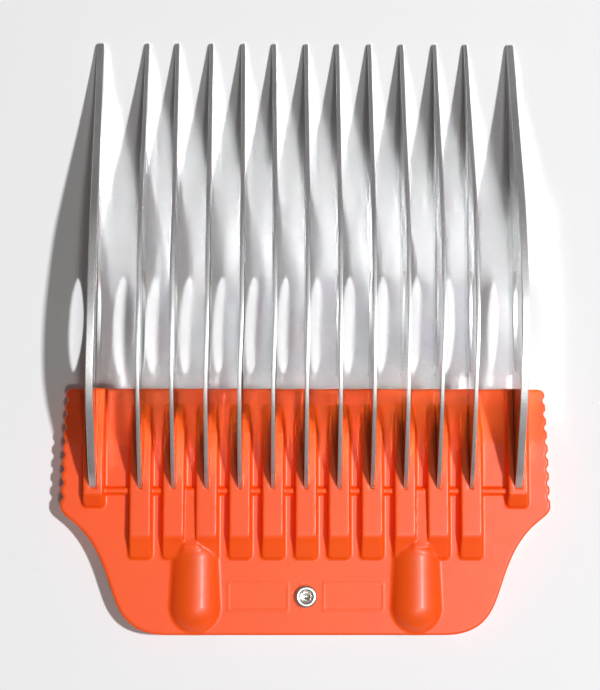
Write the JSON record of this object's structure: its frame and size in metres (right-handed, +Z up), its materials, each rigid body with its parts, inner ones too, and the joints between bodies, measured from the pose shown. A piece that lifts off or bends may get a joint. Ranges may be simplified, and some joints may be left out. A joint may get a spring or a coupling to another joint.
{
  "type": "clipper guard comb",
  "caption": "Clip-on clipper attachment comb: flat arched steel teeth with leaf-shaped windows set in an orange moulded body, with a sprung latch plate underneath.",
  "frame": {"origin": "centre of the footprint, on the surface the comb stands on with its skin side up", "axes": "+Y towards the tooth tips, +X to the right seen from the skin side, +Z up, out of the skin side"},
  "size_m": [0.0744, 0.0918, 0.016],
  "materials": {
    "orange_plastic": "moulded gloss, slightly translucent",
    "tooth_steel": "polished faces, bright edges",
    "latch_steel": "rolled sheet, satin",
    "spring_steel": "drawn wire",
    "rivet_steel": "bright plated"
  },
  "bodies": {
    "comb": {"comb_body": "orange_plastic", "tooth_01": "tooth_steel", "tooth_02": "tooth_steel", "tooth_03": "tooth_steel", "tooth_04": "tooth_steel", "tooth_05": "tooth_steel", "tooth_06": "tooth_steel", "tooth_07": "tooth_steel", "tooth_08": "tooth_steel", "tooth_09": "tooth_steel", "tooth_10": "tooth_steel", "tooth_11": "tooth_steel", "tooth_12": "tooth_steel", "tooth_13": "tooth_steel", "rivet": "rivet_steel", "rivet_washer": "latch_steel", "rivet_collar": "rivet_steel", "spring_left": "spring_steel", "spring_right": "spring_steel"},
    "latch": {"latch_plate": "latch_steel"}
  },
  "joints": [
    {"name": "latch_slide", "type": "slide", "parent": "comb", "child": "latch", "axis": [0, -1, 0], "range_m": [0, 0.004], "stiffness_N_per_m": 700, "springref_m": -0.006, "deforming": ["spring_left", "spring_right"]}
  ]
}
